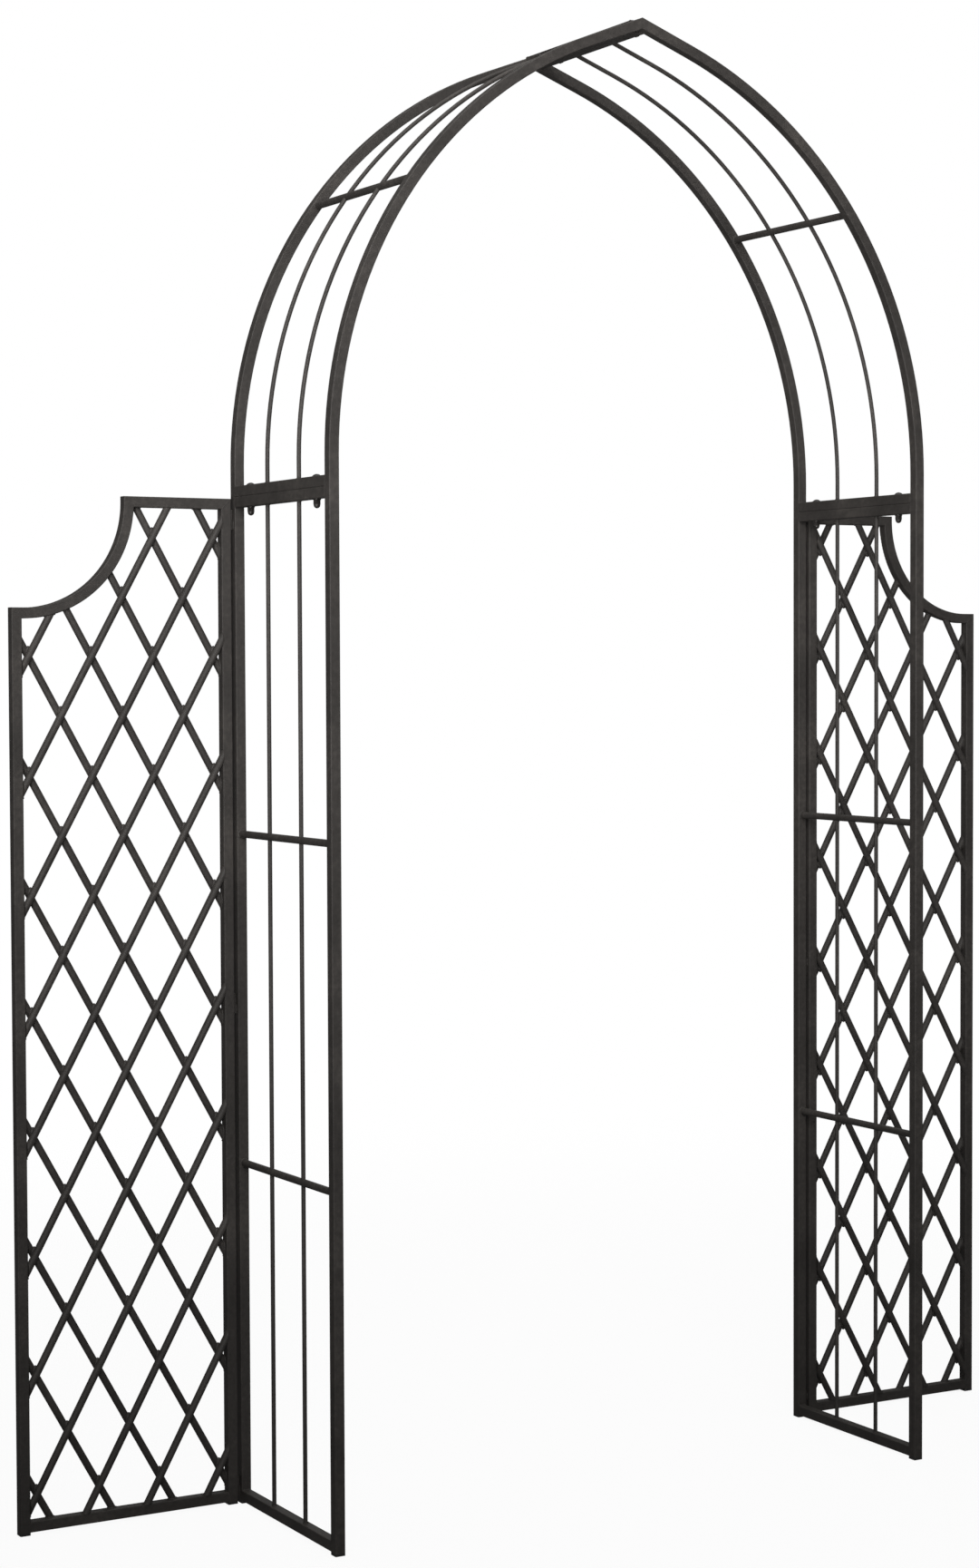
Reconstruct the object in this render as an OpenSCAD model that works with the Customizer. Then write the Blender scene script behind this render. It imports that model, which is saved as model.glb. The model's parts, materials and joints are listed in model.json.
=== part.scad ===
// Pointed garden arch in square steel tube: two ladder-like side frames, two curved arch halves
// that meet at a ridge, and two scalloped lattice wings that hang on pin hinges at the back.
// +X runs across the passage, +Y to the back (the wing side), +Z up. The ground is z = 0.

/* [Passage and side frames] */
// Clear width between the two side frames
opening_w = 1020; // [950:5:1060]
// Depth of a side frame, front face to back face
frame_d = 335; // [300:5:500]
// Height of a side frame, from the ground to the seat of the arch
side_h = 1530; // [1450:10:1700]

/* [Tube, bars and rods] */
// Outside width of the square tube
tube = 16; // [15:1:17]
// Wall thickness of the square tube
wall = 1.2; // [1:0.1:2]
// Radius of the tube's outer edges
tube_edge_r = 1.5; // [0.5:0.1:2.5]
// Diameter of the crossbars and of the lattice bars
bar_d = 11; // [9:1:12]
// Diameter of the thin upright rods
rod_d = 6.5; // [5:0.5:7]
// Play all round a rod in its crossbar hole
rod_play = 0.15; // [0.1:0.05:0.3]
// Distance between the crossbars, and from the upper one to the top bar
crossbar_pitch = 500; // [400:10:505]
// Height of the flange of a plastic foot plug
plug_flange = 4; // [3:0.5:6]
// Depth that a foot plug reaches into its tube
plug_stub = 12; // [8:1:20]

/* [Arch] */
// Upright length of a rib below its bend
rib_straight = 45; // [30:5:80]
// Bend radius of a rib, on its centre line
rib_r = 665; // [640:5:680]
// How far the straight end of a rib climbs to the ridge on every 117 mm across
ridge_climb = 44; // [42:1:55]
// How far up the bend the arch crossbar sits, as an angle
arch_bar_angle = 37; // [20:0.5:50]

/* [Wings] */
// Overall width of a wing
wing_w = 350; // [320:5:450]
// Drop of a wing's top edge below the seat of the arch
wing_drop = 3; // [2:0.5:10]
// Lift of a wing's feet off the ground, so that it swings freely
wing_lift = 1; // [0.5:0.5:5]
// Radius of the scalloped shoulder, on its centre line
scallop_r = 165; // [140:5:180]
// Straight end of the scallop before the outer post
scallop_end = 12; // [8:1:20]
// Width of one lattice diamond
diamond_w = 98; // [90:1:120]
// Height of one lattice diamond
diamond_h = 176; // [150:1:200]

/* [Hinges] */
// Gap between a side frame and its wing
hinge_gap = 6.1; // [6:0.1:8]
// Outside diameter of a hinge knuckle
knuckle_d = 5.5; // [5.3:0.1:5.6]
// Diameter of a hinge pin
pin_d = 3.6; // [3.2:0.1:3.8]
// Height of a whole hinge
hinge_h = 30; // [24:1:40]
// Height of the middle of the lowest hinge
low_hinge_z = 26; // [24:1:60]
// Distance of the middle of the highest hinge below the seat of the arch
high_hinge_drop = 34; // [30:1:80]

/* [Fasteners] */
// Diameter of the coach bolts
bolt_d = 6; // [5:0.5:6]
// Length of a coach bolt under its head
bolt_len = 40; // [38:1:41]
// Distance of a bolt from the centre of the nearest post
bolt_inset = 48; // [40:1:60]

/* [Hidden] */
$fn = 64;

LEFT = -1;
RIGHT = 1;
PAINT = [0.21, 0.19, 0.175];
BOLT_PAINT = [0.16, 0.15, 0.14];
PLUG_BLACK = [0.07, 0.07, 0.07];
eps = 0.01;
big = 6000;

half_tube = tube / 2;
bore_w = tube - 2 * wall;

// The lattice is thicker than the tube, so it stands proud of a wing by this much.
proud = bar_d - half_tube;
y_rear = (frame_d - proud) / 2 - half_tube;
y_front = y_rear - (frame_d - tube);
frame_gap = frame_d - 2 * tube;
y_mid = (y_rear + y_front) / 2;
rod_rear_y = y_rear - (y_rear - y_front) / 3;
rod_front_y = y_front + (y_rear - y_front) / 3;

// Side frame heights
post_x = (opening_w + tube) / 2;
frame_foot = plug_flange;
bottom_bar_z = frame_foot + half_tube;
top_bar_z = side_h - half_tube;
upper_crossbar_z = top_bar_z - crossbar_pitch;
lower_crossbar_z = upper_crossbar_z - crossbar_pitch;

// Arch: the bend starts level with its centre, then a straight end climbs to the ridge.
climb_run = 117;
rib_angle = atan2(climb_run, ridge_climb);
bend_x = post_x - rib_r;
bend_z = side_h + rib_straight;
bend_end_x = bend_x + rib_r * cos(rib_angle);
bend_end_z = bend_z + rib_r * sin(rib_angle);
ridge_z = bend_end_z + (bend_end_x - half_tube) / tan(rib_angle);
arch_bar_x = bend_x + rib_r * cos(arch_bar_angle);
arch_bar_z = bend_z + rib_r * sin(arch_bar_angle);

// Wing, measured outwards from the centre of its inner post
wing_x = post_x + tube + hinge_gap;
wing_post_gap = wing_w - tube;
wing_foot = wing_lift + plug_flange;
wing_bottom_z = wing_foot + half_tube;
wing_top_z = side_h - wing_drop - half_tube;
shoulder_u = wing_post_gap - scallop_end - scallop_r;
scallop_u = shoulder_u + scallop_r;
outer_corner_z = wing_top_z - scallop_r;

// Lattice
lattice_lean = atan2(diamond_w, diamond_h);
lattice_mid_u = wing_post_gap / 2;
lattice_mid_z = (wing_bottom_z + wing_top_z) / 2;
lattice_rows = ceil(side_h / diamond_h);

// Hinges
hinge_x = post_x + half_tube + hinge_gap / 2;
hinge_heights = [low_hinge_z, side_h / 2, side_h - high_hinge_drop];
knuckle_gap = 0.4;
knuckle_h = (hinge_h - knuckle_gap) / 2;
pin_play = 0.05;
pin_cover = 2;
tab_t = 3;

// Fasteners
head_d = 14;
head_h = 3.5;
washer_d = 12;
washer_t = 1.6;
nut_af = 10;
nut_hex_h = 6.5;
nut_h = 12;
nut_bore_h = 9.5;
hole_play = 0.5;
thread_play = 0.1;

// ---- Shared shapes ----

// Mirrors what is built on the right for the left side.
module on_side(side) {
  if (side == LEFT) mirror([1, 0, 0]) children();
  else children();
}

// Square with rounded corners, centred on the origin.
module rounded_square(width, corner_r) {
  inner_w = width - 2 * corner_r;
  square([width, inner_w], center = true);
  square([inner_w, width], center = true);
  for (x = [-inner_w / 2, inner_w / 2], y = [-inner_w / 2, inner_w / 2])
    translate([x, y]) circle(r = corner_r);
}

module tube_section() {
  difference() {
    rounded_square(tube, tube_edge_r);
    square(bore_w, center = true);
  }
}

module tube_up(length) {
  linear_extrude(height = length) tube_section();
}

// Square tube that starts at the origin and runs to +X.
module tube_across(length) {
  rotate([0, 90, 0]) tube_up(length);
}

// Square tube centred on the origin, along Y, between the posts of one frame.
module tube_between_posts() {
  translate([0, frame_gap / 2, 0]) rotate([90, 0, 0]) tube_up(frame_gap);
}

module bar_between_posts() {
  rotate([90, 0, 0]) cylinder(h = frame_gap, d = bar_d, center = true);
}

// Everything on the far side of a plane through (x, z), in the direction angle degrees from +Z to +X.
module half_space(x, z, angle) {
  translate([x, 0, z]) rotate([0, angle, 0]) translate([-big / 2, -big / 2, 0]) cube(big);
}

// The rib's path, swept with whatever section is given, from start_z up to past the ridge.
module along_rib(start_z) {
  overshoot = tube;
  translate([post_x, 0, start_z]) linear_extrude(height = bend_z - start_z) children();
  translate([bend_x, 0, bend_z]) {
    difference() {
      rotate([90, 0, 0]) rotate_extrude(angle = 90, $fn = 240) translate([rib_r, 0]) children();
      rotate([0, -rib_angle, 0]) translate([0, -big / 2, 0]) cube(big);
    }
    rotate([0, -rib_angle, 0]) translate([rib_r, 0, 0])
      linear_extrude(height = bend_end_x / sin(rib_angle) + overshoot) children();
  }
}

module bolt_hole() {
  cylinder(h = 3 * tube, d = bolt_d + hole_play, center = true);
}

// Places children at the two bolt positions of a frame, along Y about its middle.
module at_bolts() {
  for (y = [y_front + bolt_inset, y_rear - bolt_inset]) translate([0, y, 0]) children();
}

// ---- Side frames ----

module side_post(side, y) {
  color(PAINT) translate([side * post_x, y, frame_foot]) tube_up(side_h - frame_foot);
}

module bottom_bar(side) {
  color(PAINT) translate([side * post_x, y_mid, bottom_bar_z]) tube_between_posts();
}

module top_bar(side) {
  color(PAINT) translate([side * post_x, 0, top_bar_z]) difference() {
    translate([0, y_mid, 0]) tube_between_posts();
    at_bolts() bolt_hole();
  }
}

module side_crossbar(side, z) {
  color(PAINT) translate([side * post_x, 0, z]) difference() {
    translate([0, y_mid, 0]) bar_between_posts();
    for (y = [rod_rear_y, rod_front_y]) translate([0, y, 0])
      cylinder(h = 2 * bar_d, d = rod_d + 2 * rod_play, center = true);
  }
}

module side_rod(side, y) {
  color(PAINT) translate([side * post_x, y, bottom_bar_z + half_tube])
    cylinder(h = top_bar_z - bottom_bar_z - tube, d = rod_d);
}

// A foot plug: a square flange under the tube's end and a stub inside it.
module foot_plug() {
  stub_play = 0.2;
  linear_extrude(height = plug_flange) rounded_square(tube, tube_edge_r);
  linear_extrude(height = plug_flange + plug_stub) square(bore_w - stub_play, center = true);
}

module side_plugs(side) {
  color(PLUG_BLACK) for (y = [y_front, y_rear]) translate([side * post_x, y, 0]) foot_plug();
}

// ---- Arch halves ----

module rib(side, y) {
  color(PAINT) on_side(side) translate([0, y, 0]) intersection() {
    along_rib(side_h) tube_section();
    half_space(0, 0, 90);
  }
}

module base_bar(side) {
  color(PAINT) translate([side * post_x, 0, side_h + half_tube]) difference() {
    translate([0, y_mid, 0]) tube_between_posts();
    at_bolts() bolt_hole();
  }
}

module ridge_bar(side) {
  color(PAINT) translate([side * half_tube, 0, ridge_z]) difference() {
    translate([0, y_mid, 0]) tube_between_posts();
    at_bolts() rotate([0, 90, 0]) bolt_hole();
  }
}

module arch_crossbar(side) {
  color(PAINT) on_side(side) translate([arch_bar_x, 0, arch_bar_z]) difference() {
    translate([0, y_mid, 0]) bar_between_posts();
    for (y = [rod_rear_y, rod_front_y]) translate([0, y, 0]) rotate([0, -arch_bar_angle, 0])
      cylinder(h = 2 * bar_d, d = rod_d + 2 * rod_play, center = true);
  }
}

module arch_rod(side, y) {
  color(PAINT) on_side(side) translate([0, y, 0]) intersection() {
    along_rib(side_h + tube) circle(d = rod_d);
    half_space(tube, 0, 90);
  }
}

// ---- Wings ----

// Puts a wing, drawn from its inner post outwards, in its place at the back of the arch.
module place_wing(side) {
  on_side(side) translate([wing_x, y_rear, 0]) children();
}

module wing_inner_post(side) {
  color(PAINT) place_wing(side) intersection() {
    translate([0, 0, wing_foot]) tube_up(side_h);
    half_space(0, wing_top_z, -135);
  }
}

module wing_outer_post(side) {
  color(PAINT) place_wing(side) intersection() {
    translate([wing_post_gap, 0, wing_foot]) tube_up(side_h);
    half_space(wing_post_gap, outer_corner_z, 135);
  }
}

module wing_bottom_bar(side) {
  color(PAINT) place_wing(side) translate([half_tube, 0, wing_bottom_z]) tube_across(wing_post_gap - tube);
}

module wing_top_bar(side) {
  color(PAINT) place_wing(side) intersection() {
    translate([-tube, 0, wing_top_z]) tube_across(shoulder_u + 2 * tube);
    half_space(0, wing_top_z, 45);
    half_space(shoulder_u, wing_top_z, -45);
  }
}

module wing_scallop(side) {
  color(PAINT) place_wing(side) intersection() {
    union() {
      translate([shoulder_u, 0, wing_top_z]) tube_up(tube);
      translate([scallop_u, 0, wing_top_z]) rotate([90, 0, 0]) rotate([0, 0, 180])
        rotate_extrude(angle = 90, $fn = 120) translate([scallop_r, 0]) tube_section();
      translate([scallop_u, 0, outer_corner_z]) tube_across(scallop_end + tube);
    }
    half_space(shoulder_u, wing_top_z, 135);
    half_space(wing_post_gap, outer_corner_z, -45);
  }
}

// The space that the lattice fills: the inside of the wing's frame, seen from the front.
module lattice_outline() {
  difference() {
    translate([half_tube, wing_bottom_z + half_tube])
      square([wing_post_gap - tube, wing_top_z - wing_bottom_z - tube]);
    translate([scallop_u, wing_top_z]) circle(r = scallop_r + half_tube, $fn = 120);
    translate([scallop_u, outer_corner_z - half_tube]) square([tube + scallop_end, scallop_r + tube]);
  }
}

// One layer of parallel lattice bars. lean is +1 for bars that rise outwards and -1 for the others.
module lattice_bars(side, lean) {
  color(PAINT) place_wing(side) intersection() {
    for (row = [-lattice_rows : lattice_rows])
      translate([lattice_mid_u, lean * bar_d / 2, lattice_mid_z + (row + 0.5) * diamond_h])
        rotate([0, lean * lattice_lean, 0]) cylinder(h = side_h, d = bar_d, center = true);
    translate([0, 2 * bar_d, 0]) rotate([90, 0, 0]) linear_extrude(height = 4 * bar_d) lattice_outline();
  }
}

module wing_plugs(side) {
  color(PLUG_BLACK) place_wing(side)
    for (u = [0, wing_post_gap]) translate([u, 0, wing_lift]) foot_plug();
}

// ---- Hinges ----

// Puts children on the hinge line of one side, at the height of every hinge.
module at_hinges(side) {
  on_side(side) for (z = hinge_heights) translate([hinge_x, y_rear, z]) children();
}

// One half of a hinge: a closed knuckle that stands up from z = 0 with its bore open at the bottom,
// and a tab that reaches towards reach (+1 outwards, -1 inwards) to the post that it is welded to.
module knuckle(bore_d, reach) {
  tab_start = bore_d / 2 + 0.6;
  difference() {
    union() {
      cylinder(h = knuckle_h, d = knuckle_d);
      translate([reach > 0 ? tab_start : -hinge_gap / 2, -tab_t / 2, 0])
        cube([hinge_gap / 2 - tab_start, tab_t, knuckle_h]);
    }
    translate([0, 0, -eps]) cylinder(h = knuckle_h - pin_cover + eps, d = bore_d);
  }
}

module hinge_sockets(side) {
  color(PAINT) at_hinges(side) translate([0, 0, -knuckle_gap / 2]) mirror([0, 0, 1]) knuckle(pin_d, -1);
}

module hinge_knuckles(side) {
  color(PAINT) at_hinges(side) translate([0, 0, knuckle_gap / 2]) knuckle(pin_d + 2 * pin_play, 1);
}

module hinge_pins(side) {
  seat = knuckle_h - pin_cover + knuckle_gap / 2;
  top_play = 0.5;
  color(BOLT_PAINT) at_hinges(side) translate([0, 0, -seat]) cylinder(h = 2 * seat - top_play, d = pin_d);
}

// ---- Fasteners ----

// Puts children on every bolt: four down through the arch's seats and two across the ridge.
// The joint that a bolt clamps lies between z = -tube and z = tube.
module at_all_bolts() {
  for (side = [LEFT, RIGHT]) translate([side * post_x, 0, side_h]) at_bolts() children();
  translate([0, 0, ridge_z]) at_bolts() rotate([0, -90, 0]) children();
}

module coach_bolts() {
  dome_r = (pow(head_d / 2, 2) + pow(head_h, 2)) / (2 * head_h);
  color(BOLT_PAINT) at_all_bolts() translate([0, 0, tube]) {
    translate([0, 0, -bolt_len]) cylinder(h = bolt_len + eps, d = bolt_d);
    intersection() {
      translate([0, 0, head_h - dome_r]) sphere(r = dome_r);
      cylinder(h = head_h, d = head_d);
    }
  }
}

module bolt_washers() {
  color(BOLT_PAINT) at_all_bolts() translate([0, 0, -tube - washer_t]) difference() {
    cylinder(h = washer_t, d = washer_d);
    translate([0, 0, -eps]) cylinder(h = washer_t + 2 * eps, d = bolt_d + hole_play);
  }
}

// A cap nut: a hexagon with a domed end and a blind bore, hanging down from the washer.
module cap_nuts() {
  dome_r = nut_af / 2 - 0.2;
  color(BOLT_PAINT) at_all_bolts() translate([0, 0, -tube - washer_t]) mirror([0, 0, 1]) difference() {
    union() {
      cylinder(h = nut_hex_h, d = nut_af / cos(30), $fn = 6);
      cylinder(h = nut_h - dome_r, r = dome_r);
      translate([0, 0, nut_h - dome_r]) sphere(r = dome_r);
    }
    translate([0, 0, -eps]) cylinder(h = nut_bore_h, d = bolt_d + thread_play);
  }
}

side_post(LEFT, y_rear);  // left_rear_post
side_post(LEFT, y_front);  // left_front_post
bottom_bar(LEFT);  // left_bottom_bar
top_bar(LEFT);  // left_top_bar
side_crossbar(LEFT, lower_crossbar_z);  // left_lower_crossbar
side_crossbar(LEFT, upper_crossbar_z);  // left_upper_crossbar
side_rod(LEFT, rod_rear_y);  // left_rear_rod
side_rod(LEFT, rod_front_y);  // left_front_rod
side_plugs(LEFT);  // left_side_plugs
side_post(RIGHT, y_rear);  // right_rear_post
side_post(RIGHT, y_front);  // right_front_post
bottom_bar(RIGHT);  // right_bottom_bar
top_bar(RIGHT);  // right_top_bar
side_crossbar(RIGHT, lower_crossbar_z);  // right_lower_crossbar
side_crossbar(RIGHT, upper_crossbar_z);  // right_upper_crossbar
side_rod(RIGHT, rod_rear_y);  // right_rear_rod
side_rod(RIGHT, rod_front_y);  // right_front_rod
side_plugs(RIGHT);  // right_side_plugs
rib(LEFT, y_rear);  // left_rear_rib
rib(LEFT, y_front);  // left_front_rib
base_bar(LEFT);  // left_base_bar
ridge_bar(LEFT);  // left_ridge_bar
arch_crossbar(LEFT);  // left_arch_crossbar
arch_rod(LEFT, rod_rear_y);  // left_arch_rear_rod
arch_rod(LEFT, rod_front_y);  // left_arch_front_rod
rib(RIGHT, y_rear);  // right_rear_rib
rib(RIGHT, y_front);  // right_front_rib
base_bar(RIGHT);  // right_base_bar
ridge_bar(RIGHT);  // right_ridge_bar
arch_crossbar(RIGHT);  // right_arch_crossbar
arch_rod(RIGHT, rod_rear_y);  // right_arch_rear_rod
arch_rod(RIGHT, rod_front_y);  // right_arch_front_rod
wing_inner_post(LEFT);  // left_wing_inner_post
wing_outer_post(LEFT);  // left_wing_outer_post
wing_bottom_bar(LEFT);  // left_wing_bottom_bar
wing_top_bar(LEFT);  // left_wing_top_bar
wing_scallop(LEFT);  // left_wing_scallop
lattice_bars(LEFT, 1);  // left_wing_rising_bars
lattice_bars(LEFT, -1);  // left_wing_falling_bars
wing_plugs(LEFT);  // left_wing_plugs
wing_inner_post(RIGHT);  // right_wing_inner_post
wing_outer_post(RIGHT);  // right_wing_outer_post
wing_bottom_bar(RIGHT);  // right_wing_bottom_bar
wing_top_bar(RIGHT);  // right_wing_top_bar
wing_scallop(RIGHT);  // right_wing_scallop
lattice_bars(RIGHT, 1);  // right_wing_rising_bars
lattice_bars(RIGHT, -1);  // right_wing_falling_bars
wing_plugs(RIGHT);  // right_wing_plugs
hinge_sockets(LEFT);  // left_hinge_sockets
hinge_pins(LEFT);  // left_hinge_pins
hinge_knuckles(LEFT);  // left_hinge_knuckles
hinge_sockets(RIGHT);  // right_hinge_sockets
hinge_pins(RIGHT);  // right_hinge_pins
hinge_knuckles(RIGHT);  // right_hinge_knuckles
coach_bolts();
bolt_washers();
cap_nuts();
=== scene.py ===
"""Looks of the garden trellis arch: dark bronze paint, weld beads, plugs, floor, light and camera.

Everything is in metres in the frame of the CAD model: +X across the passage, +Y to the back, +Z up.
"""
import json
import math
import random

import bpy
from mathutils import Matrix, Vector


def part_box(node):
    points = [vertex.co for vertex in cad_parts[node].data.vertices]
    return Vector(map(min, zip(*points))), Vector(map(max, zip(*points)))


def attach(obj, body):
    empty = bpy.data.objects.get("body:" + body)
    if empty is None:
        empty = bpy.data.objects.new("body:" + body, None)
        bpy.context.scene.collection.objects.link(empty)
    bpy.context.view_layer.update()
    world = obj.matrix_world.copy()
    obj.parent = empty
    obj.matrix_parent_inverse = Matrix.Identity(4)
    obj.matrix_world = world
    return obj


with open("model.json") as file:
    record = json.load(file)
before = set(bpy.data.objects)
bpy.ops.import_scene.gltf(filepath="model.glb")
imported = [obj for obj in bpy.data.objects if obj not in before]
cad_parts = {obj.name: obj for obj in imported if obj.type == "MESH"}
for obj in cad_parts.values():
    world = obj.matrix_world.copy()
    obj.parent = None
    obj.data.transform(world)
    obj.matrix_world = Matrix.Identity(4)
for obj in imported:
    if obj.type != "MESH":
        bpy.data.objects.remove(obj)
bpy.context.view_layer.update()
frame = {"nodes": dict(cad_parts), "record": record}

MM = 0.001
SIDES = ("left", "right")
SIGN = {"left": -1, "right": 1}

# Stock sizes of the arch, as the CAD model has them
TUBE = 16 * MM
TUBE_EDGE = 1.5 * MM
BAR_R = 5.5 * MM
ROD_R = 3.25 * MM
DIAMOND_W = 98 * MM
DIAMOND_H = 176 * MM
SCALLOP_END = 12 * MM
HINGE_H = 30 * MM

# Weld beads: radii, then how far the ground seams sink in and how far rings stand off their bars
BEAD_R = 1.5 * MM
SMALL_BEAD_R = 1.0 * MM
LATTICE_BEAD_R = 0.9 * BEAD_R
SEAM_R = 1.2 * MM
SEAM_SINK = 0.9 * MM
MITRE_INSET = 0.6 * MM
CROSSBAR_RING_OFF = 0.3 * MM
ROD_RING_OFF = 0.2 * MM
LATTICE_RING_OFF = 0.2 * MM
LATTICE_BEAD_Y = TUBE / 2 - 1.0 * MM
CROSSING_HALF = (5.2 * MM, 3.4 * MM, 12.6 * MM)
BEAD_STEP = 1.6 * MM
BEAD_SWELL = (0.78, 1.18)
BEAD_END_SWELL = 0.35
NUGGET_SWELL = (0.97, 1.03)
BEAD_SEED = 7

# Beads along the hinge tabs: radius, place in Y, distance from the post, and gaps at their two ends
TAB_BEAD_R = 1.0 * MM
TAB_BEAD_Y = 2.2 * MM
TAB_BEAD_OFF = 0.4 * MM
TAB_BEAD_NEAR = 1.5 * MM
TAB_BEAD_FAR = 1.0 * MM

# Studio. Each softbox: name, place, target, width, height, power, and the angle its grid lets through
FLOOR_HALF = 9.0
OPEN_SPREAD = 180
SOFTBOXES = (
    ("key_softbox", (-1.7, -3.4, 2.9), (-0.1, 0, 1.85), 2.6, 2.6, 27, 52),
    ("low_softbox", (-2.6, -2.2, 0.6), (0.3, 0, 2.1), 1.4, 1.4, 9, 52),
    ("top_softbox", (0, -0.4, 4.6), (0, 0, 0), 4.0, 3.0, 77, OPEN_SPREAD),
    ("back_softbox", (1.6, 3.6, 2.6), (0, 0, 1.2), 2.0, 2.0, 18, OPEN_SPREAD),
)
CAMERA_PLACE = (-2.4166, -3.9652, 1.2715)
CAMERA_TURN = -29.51
CAMERA_TILT = 90 - 2.223
CAMERA_ROLL = -0.222
CAMERA_ANGLE = 29.38
CAMERA_CLIP_END = 100


# ---- Node helpers ----

def new_material(name):
    mat = bpy.data.materials.new(name)
    mat.use_nodes = True
    mat.node_tree.nodes.clear()
    return mat


def add_node(mat, kind, **values):
    """A node of that kind, with its inputs and properties set by name."""
    node = mat.node_tree.nodes.new(kind)
    for key, value in values.items():
        if key in node.inputs:
            node.inputs[key].default_value = value
        else:
            setattr(node, key, value)
    return node


def link(mat, output, target):
    mat.node_tree.links.new(output, target)


def ramp(mat, factor, stops):
    """A colour ramp from a list of (position, colour)."""
    node = add_node(mat, "ShaderNodeValToRGB")
    elements = node.color_ramp.elements
    while len(elements) < len(stops):
        elements.new(0.5)
    for element, (position, colour) in zip(elements, stops):
        element.position = position
        element.color = colour
    link(mat, factor, node.inputs["Fac"])
    return node.outputs["Color"]


def grey(value):
    return (value, value, value, 1)


def noise(mat, coords, scale, detail=4.0, roughness=0.55):
    node = add_node(mat, "ShaderNodeTexNoise", Scale=scale, Detail=detail, Roughness=roughness)
    link(mat, coords, node.inputs["Vector"])
    return node.outputs["Fac"]


def maths(mat, operation, a, b=0.0, clamp=False):
    node = add_node(mat, "ShaderNodeMath", operation=operation, use_clamp=clamp)
    for socket, value in zip(node.inputs, (a, b)):
        if isinstance(value, bpy.types.NodeSocket):
            link(mat, value, socket)
        else:
            socket.default_value = value
    return node.outputs["Value"]


def mix_colour(mat, factor, a, b):
    node = add_node(mat, "ShaderNodeMix", data_type="RGBA")
    for socket, value in ((node.inputs[0], factor), (node.inputs[6], a), (node.inputs[7], b)):
        if isinstance(value, bpy.types.NodeSocket):
            link(mat, value, socket)
        else:
            socket.default_value = value
    return node.outputs[2]


def edge_mask(mat, radius, low, high):
    """1 along edges and 0 on flats, from how far a rounded normal turns from the true one."""
    bevel = add_node(mat, "ShaderNodeBevel", Radius=radius, samples=6)
    geometry = add_node(mat, "ShaderNodeNewGeometry")
    dot = add_node(mat, "ShaderNodeVectorMath", operation="DOT_PRODUCT")
    link(mat, bevel.outputs["Normal"], dot.inputs[0])
    link(mat, geometry.outputs["Normal"], dot.inputs[1])
    span = add_node(mat, "ShaderNodeMapRange", clamp=True)
    span.inputs["From Min"].default_value = high
    span.inputs["From Max"].default_value = low
    link(mat, dot.outputs["Value"], span.inputs["Value"])
    return span.outputs["Result"]


def finish_material(mat, colour, roughness, bump_height, bump_distance, **shader_values):
    """Ends a material in one Principled shader, with the values that are even all over on its sockets."""
    shader = add_node(mat, "ShaderNodeBsdfPrincipled", **shader_values)
    bump = add_node(mat, "ShaderNodeBump", Strength=1.0, Distance=bump_distance)
    output = add_node(mat, "ShaderNodeOutputMaterial")
    link(mat, colour, shader.inputs["Base Color"])
    link(mat, roughness, shader.inputs["Roughness"])
    link(mat, bump_height, bump.inputs["Height"])
    link(mat, bump.outputs["Normal"], shader.inputs["Normal"])
    link(mat, shader.outputs["BSDF"], output.inputs["Surface"])
    return mat


# ---- Materials ----

def bronze_paint():
    """Satin powder paint, nearly black and warm: orange peel, cloudy tone, dust and rubbed edges."""
    dust_colour = (0.12, 0.11, 0.095, 1)
    rubbed_colour = (0.095, 0.080, 0.066, 1)
    mat = new_material("bronze_paint")
    coords = add_node(mat, "ShaderNodeTexCoord").outputs["Object"]
    geometry = add_node(mat, "ShaderNodeNewGeometry")
    cloud = noise(mat, coords, 9, detail=5)
    mottle = noise(mat, coords, 140, detail=4)
    peel = noise(mat, coords, 900, detail=2)
    grit = noise(mat, coords, 3200, detail=2)
    cloud_share = maths(mat, "MULTIPLY", cloud, 0.6)
    mottle_share = maths(mat, "MULTIPLY", mottle, 0.4)
    tone = maths(mat, "ADD", cloud_share, mottle_share)
    colour = ramp(mat, tone, [
        (0.36, (0.0220, 0.0195, 0.0176, 1)),
        (0.52, (0.0320, 0.0285, 0.0260, 1)),
        (0.66, (0.0495, 0.0440, 0.0395, 1)),
    ])
    facing = add_node(mat, "ShaderNodeSeparateXYZ")
    link(mat, geometry.outputs["Normal"], facing.inputs[0])
    upward = maths(mat, "MULTIPLY", facing.outputs["Z"], 1.0, clamp=True)
    dust = maths(mat, "MULTIPLY", upward, maths(mat, "MULTIPLY", mottle, 0.14))
    colour = mix_colour(mat, dust, colour, dust_colour)
    edges = edge_mask(mat, 0.8 * MM, 0.86, 0.985)
    patches = noise(mat, coords, 75, detail=6, roughness=0.7)
    rubbed = maths(mat, "MULTIPLY", edges, ramp(mat, patches, [(0.5, grey(0)), (0.66, grey(1))]))
    colour = mix_colour(mat, maths(mat, "MULTIPLY", rubbed, 0.5), colour, rubbed_colour)
    rough = maths(mat, "ADD", 0.52, maths(mat, "MULTIPLY", mottle, 0.2))
    rough = maths(mat, "ADD", rough, maths(mat, "MULTIPLY", dust, 0.9))
    height = maths(mat, "ADD", maths(mat, "MULTIPLY", peel, 0.8), maths(mat, "MULTIPLY", grit, 0.2))
    return finish_material(mat, colour, rough, height, 0.09 * MM, **{"Specular IOR Level": 0.32})


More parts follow.
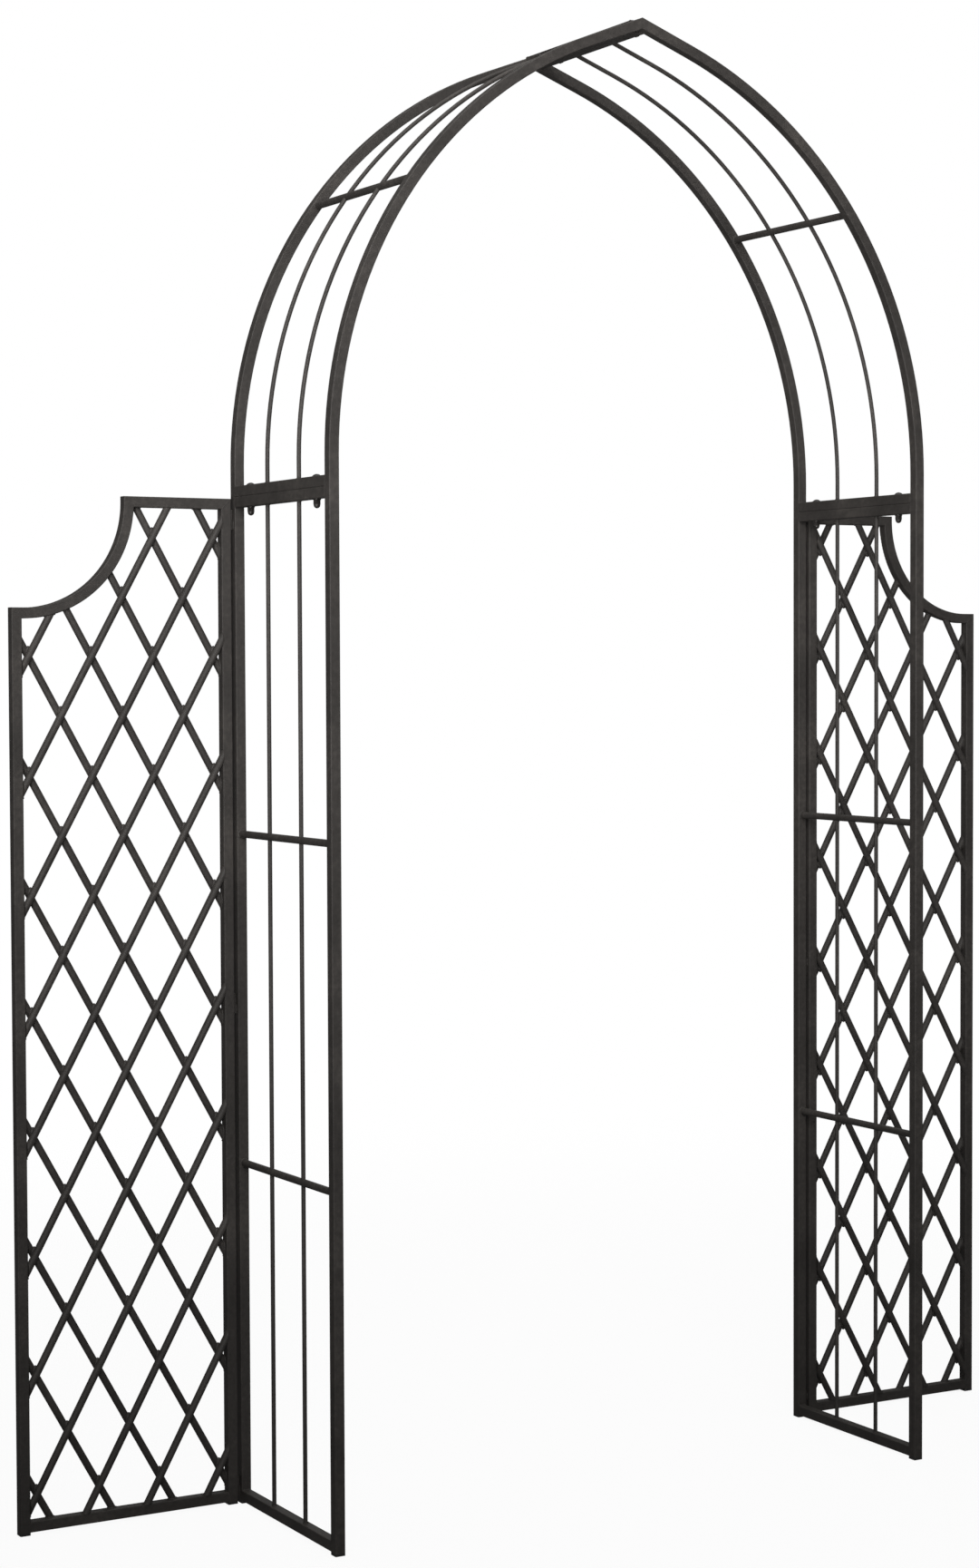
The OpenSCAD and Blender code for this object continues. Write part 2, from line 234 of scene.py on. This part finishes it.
def dark_fastener_steel():
    """Blackened bolts, washers, nuts and pins, a little glossier, with bright rubbed rims."""
    rim_colour = (0.11, 0.10, 0.09, 1)
    mat = new_material("dark_fastener_steel")
    coords = add_node(mat, "ShaderNodeTexCoord").outputs["Object"]
    mottle = noise(mat, coords, 420, detail=5)
    fine = noise(mat, coords, 2600, detail=2)
    colour = ramp(mat, mottle, [(0.35, (0.012, 0.011, 0.010, 1)), (0.7, (0.034, 0.030, 0.027, 1))])
    rubbed = edge_mask(mat, 0.5 * MM, 0.8, 0.98)
    colour = mix_colour(mat, maths(mat, "MULTIPLY", rubbed, 0.45), colour, rim_colour)
    rough = maths(mat, "ADD", 0.26, maths(mat, "MULTIPLY", mottle, 0.22))
    return finish_material(mat, colour, rough, fine, 0.05 * MM, Metallic=0.35)


def black_plastic():
    """Matt black moulded foot plugs, a little dusty where they meet the ground."""
    dust_colour = (0.10, 0.092, 0.08, 1)
    dust_top = 4 * MM
    mat = new_material("black_plastic")
    coords = add_node(mat, "ShaderNodeTexCoord").outputs["Object"]
    height_axis = add_node(mat, "ShaderNodeSeparateXYZ")
    link(mat, coords, height_axis.inputs[0])
    mottle = noise(mat, coords, 260, detail=5)
    fine = noise(mat, coords, 1900, detail=3)
    low = add_node(mat, "ShaderNodeMapRange", clamp=True)
    low.inputs["From Min"].default_value = dust_top
    low.inputs["From Max"].default_value = 0.0
    link(mat, height_axis.outputs["Z"], low.inputs["Value"])
    colour = ramp(mat, mottle, [(0.3, grey(0.006)), (0.75, grey(0.014))])
    dust = maths(mat, "MULTIPLY", low.outputs["Result"], maths(mat, "MULTIPLY", mottle, 0.35))
    colour = mix_colour(mat, dust, colour, dust_colour)
    rough = maths(mat, "ADD", 0.5, maths(mat, "MULTIPLY", fine, 0.2))
    return finish_material(mat, colour, rough, fine, 0.06 * MM)


def studio_floor():
    """A pale floor that lets the white surroundings through, wholly so away from the arch."""
    fade_start, fade_end = 1.0, 4.2
    least_clear = 0.94
    mat = new_material("studio_floor")
    coords = add_node(mat, "ShaderNodeTexCoord").outputs["Object"]
    colour = ramp(mat, noise(mat, coords, 3, detail=3), [(0.3, grey(0.88)), (0.7, grey(0.91))])
    distance = add_node(mat, "ShaderNodeVectorMath", operation="LENGTH")
    link(mat, coords, distance.inputs[0])
    fade = add_node(mat, "ShaderNodeMapRange", clamp=True, interpolation_type="SMOOTHERSTEP")
    fade.inputs["From Min"].default_value = fade_start
    fade.inputs["From Max"].default_value = fade_end
    fade.inputs["To Min"].default_value = least_clear
    link(mat, distance.outputs["Value"], fade.inputs["Value"])
    shader = add_node(mat, "ShaderNodeBsdfDiffuse")
    clear = add_node(mat, "ShaderNodeBsdfTransparent")
    mix = add_node(mat, "ShaderNodeMixShader")
    output = add_node(mat, "ShaderNodeOutputMaterial")
    link(mat, colour, shader.inputs["Color"])
    link(mat, fade.outputs["Result"], mix.inputs["Fac"])
    link(mat, shader.outputs["BSDF"], mix.inputs[1])
    link(mat, clear.outputs["BSDF"], mix.inputs[2])
    link(mat, mix.outputs["Shader"], output.inputs["Surface"])
    return mat


MATERIALS = {
    "bronze_paint": bronze_paint(),
    "dark_fastener_steel": dark_fastener_steel(),
    "black_plastic": black_plastic(),
}


def paint_cad_nodes():
    slots = {part["node"]: part["material_slot"] for part in frame["record"]["subparts"]}
    for name, obj in frame["nodes"].items():
        obj.data.materials.clear()
        obj.data.materials.append(MATERIALS[slots[name]])


# ---- Weld beads ----

class BeadMesh:
    """Collects swept beads and turns them into one object."""

    def __init__(self, name, body):
        self.name = name
        self.body = body
        self.verts = []
        self.faces = []
        self.random = random.Random(f"{BEAD_SEED} {name}")

    def sweep(self, path, across, radius, closed, sides=8):
        """A round rippled bead along path. across is a direction square to the whole path."""
        first = len(self.verts)
        count = len(path)
        across = Vector(across).normalized()
        for i, point in enumerate(path):
            before = path[i - 1] if closed or i > 0 else point
            after = path[(i + 1) % count] if closed or i < count - 1 else point
            tangent = (after - before).normalized()
            other = tangent.cross(across).normalized()
            swell = radius * self.random.uniform(*BEAD_SWELL)
            if not closed and i in (0, count - 1):
                swell *= BEAD_END_SWELL
            for k in range(sides):
                angle = math.tau * k / sides
                outwards = math.cos(angle) * across + math.sin(angle) * other
                self.verts.append(point + swell * outwards)
        for i in range(count if closed else count - 1):
            a = first + i * sides
            b = first + ((i + 1) % count) * sides
            for k in range(sides):
                n = (k + 1) % sides
                self.faces.append((a + k, a + n, b + n, b + k))
        if not closed:
            last = first + (count - 1) * sides
            self.faces.append(tuple(first + k for k in range(sides)))
            self.faces.append(tuple(last + k for k in reversed(range(sides))))

    def line(self, start, end, across, radius):
        start, end = Vector(start), Vector(end)
        steps = max(4, round((end - start).length / BEAD_STEP))
        path = [start.lerp(end, i / steps) for i in range(steps + 1)]
        self.sweep(path, across, radius, closed=False)

    def ring(self, centre, long_axis, short_axis, radius, steps=22, start=0.0, turn=math.tau):
        """A bead round a bar's end, or round part of it. The axes are the ellipse's half widths."""
        centre, long_axis, short_axis = Vector(centre), Vector(long_axis), Vector(short_axis)
        closed = turn == math.tau
        angles = [start + turn * i / (steps if closed else steps - 1) for i in range(steps)]
        path = [centre + math.cos(a) * long_axis + math.sin(a) * short_axis for a in angles]
        self.sweep(path, long_axis.cross(short_axis), radius, closed=closed)

    def nugget(self, centre, half, rings=7, sides=20):
        """A flattened lump round centre, whose poles lie along Y. half is its half size in X, Y and Z."""
        half_x, half_y, half_z = half
        first = len(self.verts)
        centre = Vector(centre)
        for i in range(1, rings):
            polar = math.pi * i / rings
            for k in range(sides):
                angle = math.tau * k / sides
                swell = math.sin(polar) * self.random.uniform(*NUGGET_SWELL)
                self.verts.append(centre + Vector((
                    half_x * swell * math.cos(angle),
                    half_y * math.cos(polar),
                    half_z * swell * math.sin(angle),
                )))
        for i in range(rings - 2):
            a = first + i * sides
            for k in range(sides):
                n = (k + 1) % sides
                self.faces.append((a + k, a + n, a + sides + n, a + sides + k))
        last = first + (rings - 2) * sides
        self.faces.append(tuple(first + k for k in reversed(range(sides))))
        self.faces.append(tuple(last + k for k in range(sides)))

    def build(self):
        mesh = bpy.data.meshes.new(self.name)
        mesh.from_pydata([tuple(v) for v in self.verts], [], self.faces)
        mesh.update()
        mesh.shade_smooth()
        mesh.materials.append(MATERIALS["bronze_paint"])
        obj = bpy.data.objects.new(self.name, mesh)
        bpy.context.scene.collection.objects.link(obj)
        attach(obj, self.body)
        return obj


def middle(node):
    low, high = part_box(node)
    return (low + high) / 2


def tube_ends_y(beads, node, hinge_side=0):
    """Beads where a square bar that runs along Y butts on the posts or ribs at its two ends.

    On the hinge side, -1 or 1, the rear seam is ground away, as the wing's post swings past it.
    """
    low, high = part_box(node)
    flat = TUBE / 2 - TUBE_EDGE
    centre = (low + high) / 2
    for y in (low.y, high.y):
        for z in (low.z, high.z):
            beads.line((centre.x - flat, y, z), (centre.x + flat, y, z), (0, 1, 0), BEAD_R)
        for side in (-1, 1):
            if side == hinge_side and y == high.y:
                continue
            x = centre.x + side * (TUBE / 2 - SEAM_SINK)
            beads.line((x, y, low.z), (x, y, high.z), (0, 1, 0), SEAM_R)


def bar_ends_y(beads, node):
    """Rings where a round crossbar that runs along Y meets the posts or ribs."""
    low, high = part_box(node)
    centre = (low + high) / 2
    reach = BAR_R + CROSSBAR_RING_OFF
    for y in (low.y, high.y):
        beads.ring((centre.x, y, centre.z), (reach, 0, 0), (0, 0, reach), BEAD_R)


def rod_end(beads, x, y, z):
    """A ring where an upright rod meets a bar."""
    reach = ROD_R + ROD_RING_OFF
    beads.ring((x, y, z), (reach, 0, 0), (0, reach, 0), SMALL_BEAD_R, steps=18)


def hinge_heights(side):
    """The heights of the middles of a side's three hinges."""
    return (
        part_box(f"{side}_hinge_sockets")[0].z + HINGE_H / 2,
        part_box(f"{side}_rear_post")[1].z / 2,
        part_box(f"{side}_hinge_knuckles")[1].z - HINGE_H / 2,
    )


def hinge_beads(beads, side, face_x, half):
    """Upright beads on both sides of the tabs of a hinge half: -1 for the lower one, 1 for the upper."""
    y = middle(f"{side}_rear_post").y
    for z in hinge_heights(side):
        near, far = z + half * TAB_BEAD_NEAR, z + half * (HINGE_H / 2 - TAB_BEAD_FAR)
        for face in (-1, 1):
            place = y + face * TAB_BEAD_Y
            beads.line((face_x, place, near), (face_x, place, far), (0, 1, 0), TAB_BEAD_R)


def side_frame_welds(side):
    beads = BeadMesh(f"{side}_side_frame_welds", "frame")
    post_x = middle(f"{side}_rear_post").x
    hinge_beads(beads, side, post_x + SIGN[side] * (TUBE / 2 + TAB_BEAD_OFF), -1)
    tube_ends_y(beads, f"{side}_bottom_bar", SIGN[side])
    tube_ends_y(beads, f"{side}_top_bar", SIGN[side])
    for level in ("lower", "upper"):
        bar_ends_y(beads, f"{side}_{level}_crossbar")
    for row in ("rear", "front"):
        low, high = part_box(f"{side}_{row}_rod")
        centre = (low + high) / 2
        rod_end(beads, centre.x, centre.y, low.z)
        rod_end(beads, centre.x, centre.y, high.z)
    return beads.build()


def arch_half_welds(side):
    beads = BeadMesh(f"{side}_arch_welds", "frame")
    tube_ends_y(beads, f"{side}_base_bar")
    tube_ends_y(beads, f"{side}_ridge_bar")
    bar_ends_y(beads, f"{side}_arch_crossbar")
    post_x = middle(f"{side}_rear_post").x
    for row in ("rear", "front"):
        low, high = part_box(f"{side}_arch_{row}_rod")
        rod_end(beads, post_x, (low.y + high.y) / 2, low.z)
    return beads.build()


class WingOutline:
    """The inside of a wing's frame, in its own plane: u runs outwards from the inner post's centre."""

    def __init__(self, side):
        self.sign = SIGN[side]
        self.inner_x = middle(f"{side}_wing_inner_post").x
        self.y = middle(f"{side}_wing_inner_post").y
        self.width = abs(middle(f"{side}_wing_outer_post").x - self.inner_x)
        self.low_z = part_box(f"{side}_wing_bottom_bar")[1].z
        self.high_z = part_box(f"{side}_wing_top_bar")[0].z
        self.arc_z = self.high_z + TUBE / 2
        self.arc_u = self.width - SCALLOP_END
        self.arc_r = self.arc_z - (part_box(f"{side}_wing_outer_post")[1].z - TUBE / 2) + TUBE / 2
        self.corner_z = self.arc_z - self.arc_r
        self.middle_u = self.width / 2
        self.middle_z = (self.low_z + self.high_z) / 2

    def normal_outside(self, u, z):
        """None inside the outline, and outside it the direction back in, as (u, z)."""
        if u < TUBE / 2:
            return (1, 0)
        if u > self.width - TUBE / 2:
            return (-1, 0)
        if z < self.low_z:
            return (0, 1)
        if z > self.high_z:
            return (0, -1)
        if u > self.arc_u and z > self.corner_z:
            return (0, -1)
        du, dz = u - self.arc_u, z - self.arc_z
        if math.hypot(du, dz) < self.arc_r:
            return (du / math.hypot(du, dz), dz / math.hypot(du, dz))
        return None

    def point(self, u, y, z):
        return Vector((self.inner_x + self.sign * u, self.y + y, z))


def lattice_end_rings(beads, outline, lean):
    """Beads round the bars of one lattice layer, where they butt on the wing's frame.

    lean is 1 for bars that rise outwards. A bar stands proud of the frame, so its bead stops at the
    frame's face.
    """
    slope = DIAMOND_W / DIAMOND_H
    length = math.hypot(slope, 1)
    step = 0.25 * MM
    least_along = 0.3
    round_r = BAR_R + LATTICE_RING_OFF
    past = math.asin((LATTICE_BEAD_Y - BAR_R) / round_r)
    first = math.pi - past if lean > 0 else -past
    rows = math.ceil((outline.high_z - outline.low_z) / DIAMOND_H)
    for row in range(-rows, rows + 1):
        row_z = outline.middle_z + (row + 0.5) * DIAMOND_H
        was_outside = (0, 1)
        z = outline.low_z - step
        while z < outline.high_z + 2 * step:
            u = outline.middle_u + lean * slope * (z - row_z)
            outside = outline.normal_outside(u, z)
            if (outside is None) != (was_outside is None):
                normal = was_outside or outside
                along = abs(lean * slope * normal[0] + normal[1]) / length
                reach = round_r / max(along, least_along)
                edge = outline.point(u + reach * normal[1], 0, z - reach * normal[0])
                long_axis = edge - outline.point(u, 0, z)
                beads.ring(outline.point(u, lean * BAR_R, z), long_axis, (0, round_r, 0),
                           LATTICE_BEAD_R, start=first, turn=math.pi + 2 * past)
            was_outside = outside
            z += step


def lattice_crossings(beads, outline):
    """A small lump of weld where two lattice bars touch."""
    columns = math.ceil(outline.width / DIAMOND_W)
    rows = 2 * math.ceil((outline.high_z - outline.low_z) / DIAMOND_H)
    for column in range(-columns * 2, columns * 2 + 1):
        for row in range(-rows, rows + 1):
            if (column + row) % 2 == 0:
                continue
            u = outline.middle_u + column * DIAMOND_W / 2
            z = outline.middle_z + row * DIAMOND_H / 2
            if outline.normal_outside(u, z) is None:
                beads.nugget(outline.point(u, 0, z), CROSSING_HALF)


def mitre_seams(beads, outline, corner_u, corner_z, rise):
    """A low ground-down seam across a mitred corner, on the front and back of the tube."""
    half = TUBE / 2 - MITRE_INSET
    for face in (-1, 1):
        y = face * (TUBE / 2 - SEAM_SINK)
        start = outline.point(corner_u - half, y, corner_z - rise * half)
        end = outline.point(corner_u + half, y, corner_z + rise * half)
        beads.line(start, end, (0, 1, 0), SEAM_R)


def wing_welds(side):
    beads = BeadMesh(f"{side}_wing_welds", f"{side}_wing")
    outline = WingOutline(side)
    flat = TUBE / 2 - TUBE_EDGE
    for lean in (-1, 1):
        lattice_end_rings(beads, outline, lean)
    lattice_crossings(beads, outline)
    hinge_beads(beads, side, outline.point(-TUBE / 2 - TAB_BEAD_OFF, 0, 0).x, 1)
    arc_centre_r = outline.arc_r - TUBE / 2
    mitre_seams(beads, outline, 0, outline.arc_z, -1)
    mitre_seams(beads, outline, outline.arc_u - arc_centre_r, outline.arc_z, 1)
    mitre_seams(beads, outline, outline.width, outline.arc_z - arc_centre_r, 1)
    foot_low, foot_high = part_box(f"{side}_wing_bottom_bar")
    for u in (TUBE / 2, outline.width - TUBE / 2):
        for z in (foot_low.z, foot_high.z):
            beads.line(outline.point(u, -flat, z), outline.point(u, flat, z), (1, 0, 0), BEAD_R)
        for face in (-1, 1):
            y = face * (TUBE / 2 - SEAM_SINK)
            low, high = outline.point(u, y, foot_low.z), outline.point(u, y, foot_high.z)
            beads.line(low, high, (1, 0, 0), SEAM_R)
    return beads.build()


paint_cad_nodes()
for side_name in SIDES:
    side_frame_welds(side_name)
    arch_half_welds(side_name)
    wing_welds(side_name)


# ---- Floor, light and camera ----

def add_floor():
    half = FLOOR_HALF
    corners = [(-half, -half, 0), (half, -half, 0), (half, half, 0), (-half, half, 0)]
    mesh = bpy.data.meshes.new("floor")
    mesh.from_pydata(corners, [], [(0, 1, 2, 3)])
    mesh.materials.append(studio_floor())
    floor = bpy.data.objects.new("floor", mesh)
    bpy.context.scene.collection.objects.link(floor)


def add_softbox(name, place, target, width, height, power, spread):
    """A rectangular light that the camera does not see."""
    light = bpy.data.lights.new(name, "AREA")
    light.spread = math.radians(spread)
    light.shape = "RECTANGLE"
    light.size = width
    light.size_y = height
    light.energy = power
    obj = bpy.data.objects.new(name, light)
    obj.location = place
    obj.visible_camera = False
    obj.rotation_euler = (Vector(target) - Vector(place)).to_track_quat("-Z", "Y").to_euler()
    bpy.context.scene.collection.objects.link(obj)


def add_surroundings(seen, lighting):
    """White surroundings, which light the arch more softly than they look."""
    world = bpy.data.worlds.new("surroundings")
    world.use_nodes = True
    tree = world.node_tree
    tree.nodes.clear()
    path = tree.nodes.new("ShaderNodeLightPath")
    strength = tree.nodes.new("ShaderNodeMapRange")
    strength.inputs["To Min"].default_value = lighting
    strength.inputs["To Max"].default_value = seen
    background = tree.nodes.new("ShaderNodeBackground")
    background.inputs["Color"].default_value = grey(1.0)
    output = tree.nodes.new("ShaderNodeOutputWorld")
    tree.links.new(path.outputs["Is Camera Ray"], strength.inputs["Value"])
    tree.links.new(strength.outputs["Result"], background.inputs["Strength"])
    tree.links.new(background.outputs["Background"], output.inputs["Surface"])
    bpy.context.scene.world = world


def add_camera():
    """Stands front left at chest height and looks a little down, with the roll of the view."""
    camera = bpy.data.cameras.new("camera")
    camera.sensor_fit = "VERTICAL"
    camera.angle = math.radians(CAMERA_ANGLE)
    camera.clip_end = CAMERA_CLIP_END
    obj = bpy.data.objects.new("camera", camera)
    turn = Matrix.Rotation(math.radians(CAMERA_TURN), 4, "Z")
    tilt = Matrix.Rotation(math.radians(CAMERA_TILT), 4, "X")
    roll = Matrix.Rotation(math.radians(CAMERA_ROLL), 4, "Z")
    obj.matrix_world = Matrix.Translation(CAMERA_PLACE) @ turn @ tilt @ roll
    bpy.context.scene.collection.objects.link(obj)
    bpy.context.scene.camera = obj


add_floor()
for softbox in SOFTBOXES:
    add_softbox(*softbox)
add_surroundings(seen=1.0, lighting=0.12)
add_camera()
bpy.context.scene.view_settings.view_transform = "Standard"
